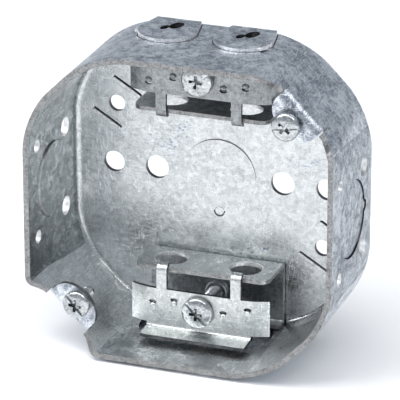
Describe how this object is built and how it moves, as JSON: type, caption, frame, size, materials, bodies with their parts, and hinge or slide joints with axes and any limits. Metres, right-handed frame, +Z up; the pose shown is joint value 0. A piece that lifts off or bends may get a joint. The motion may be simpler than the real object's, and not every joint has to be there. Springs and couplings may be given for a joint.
{
  "type": "electrical junction box",
  "caption": "Octagonal steel ceiling junction box with cable clamps inside, cover ears, round knockouts and slotted pry-outs.",
  "frame": {"origin": "middle of the whole box at the level it stands on, half way through its depth", "axes": "+X right, +Z up, the open front faces -Y and the closed back faces +Y"},
  "size_m": [0.0926, 0.0382, 0.0947],
  "materials": {
    "galvanised_sheet": "pre-galvanised sheet, mottled and scuffed",
    "clamp_steel": "zinc plated stamping, satin",
    "screw_zinc": "bright zinc plate"
  },
  "bodies": {
    "box": {"box_body": "galvanised_sheet", "lower_clamp_bracket": "clamp_steel", "upper_clamp_bracket": "clamp_steel"},
    "back_knockout": {"back_knockout": "galvanised_sheet"},
    "left_knockout": {"left_knockout": "galvanised_sheet"},
    "right_knockout": {"right_knockout": "galvanised_sheet"},
    "top_left_pryout": {"top_left_pryout": "galvanised_sheet"},
    "top_right_pryout": {"top_right_pryout": "galvanised_sheet"},
    "bottom_left_pryout": {"bottom_left_pryout": "galvanised_sheet"},
    "bottom_right_pryout": {"bottom_right_pryout": "galvanised_sheet"},
    "lower_clamp_plate": {"lower_clamp_plate": "clamp_steel"},
    "upper_clamp_plate": {"upper_clamp_plate": "clamp_steel"},
    "lower_clamp_screw": {"lower_clamp_screw": "screw_zinc"},
    "upper_clamp_screw": {"upper_clamp_screw": "screw_zinc"},
    "lower_cover_screw": {"lower_cover_screw": "screw_zinc"},
    "upper_cover_screw": {"upper_cover_screw": "screw_zinc"}
  },
  "joints": [
    {"name": "lower_clamp_screw_drive", "type": "slide", "parent": "box", "child": "lower_clamp_screw", "axis": [0, 1, 0], "range_m": [0, 0.0014]},
    {"name": "upper_clamp_screw_drive", "type": "slide", "parent": "box", "child": "upper_clamp_screw", "axis": [0, 1, 0], "range_m": [0, 0.0014]},
    {"name": "lower_clamp_plate_tip", "type": "hinge", "parent": "box", "child": "lower_clamp_plate", "pos_m": [0, 0.00095, 0.02285], "axis": [1, 0, 0], "range_deg": [0, 13]},
    {"name": "upper_clamp_plate_tip", "type": "hinge", "parent": "box", "child": "upper_clamp_plate", "pos_m": [0, 0.00095, 0.07185], "axis": [-1, 0, 0], "range_deg": [0, 13]},
    {"name": "lower_cover_screw_drive", "type": "slide", "parent": "box", "child": "lower_cover_screw", "axis": [0, 1, 0], "range_m": [-0.006, 0.0016]},
    {"name": "upper_cover_screw_drive", "type": "slide", "parent": "box", "child": "upper_cover_screw", "axis": [0, 1, 0], "range_m": [-0.006, 0.0016]},
    {"name": "back_knockout_bend", "type": "hinge", "parent": "box", "child": "back_knockout", "pos_m": [0, 0.01745, 0.03625], "axis": [1, 0, 0], "range_deg": [0, 60]},
    {"name": "left_knockout_bend", "type": "hinge", "parent": "box", "child": "left_knockout", "pos_m": [-0.04465, 0.0101, 0.04735], "axis": [0, 0, 1], "range_deg": [0, 60]},
    {"name": "right_knockout_bend", "type": "hinge", "parent": "box", "child": "right_knockout", "pos_m": [0.04465, 0.0101, 0.04735], "axis": [0, 0, -1], "range_deg": [0, 60]},
    {"name": "top_left_pryout_bend", "type": "hinge", "parent": "box", "child": "top_left_pryout", "pos_m": [-0.01135, 0.01515, 0.0947], "axis": [-1, 0, 0], "range_deg": [0, 60]},
    {"name": "bottom_left_pryout_bend", "type": "hinge", "parent": "box", "child": "bottom_left_pryout", "pos_m": [-0.01135, 0.01515, 0], "axis": [1, 0, 0], "range_deg": [0, 60]},
    {"name": "top_right_pryout_bend", "type": "hinge", "parent": "box", "child": "top_right_pryout", "pos_m": [0.01135, 0.01515, 0.0947], "axis": [-1, 0, 0], "range_deg": [0, 60]},
    {"name": "bottom_right_pryout_bend", "type": "hinge", "parent": "box", "child": "bottom_right_pryout", "pos_m": [0.01135, 0.01515, 0], "axis": [1, 0, 0], "range_deg": [0, 60]}
  ],
  "couplings": [
    {"joint": "lower_clamp_plate_tip", "follows": "lower_clamp_screw_drive", "rad_per_m": 158.6},
    {"joint": "upper_clamp_plate_tip", "follows": "upper_clamp_screw_drive", "rad_per_m": 158.6}
  ]
}
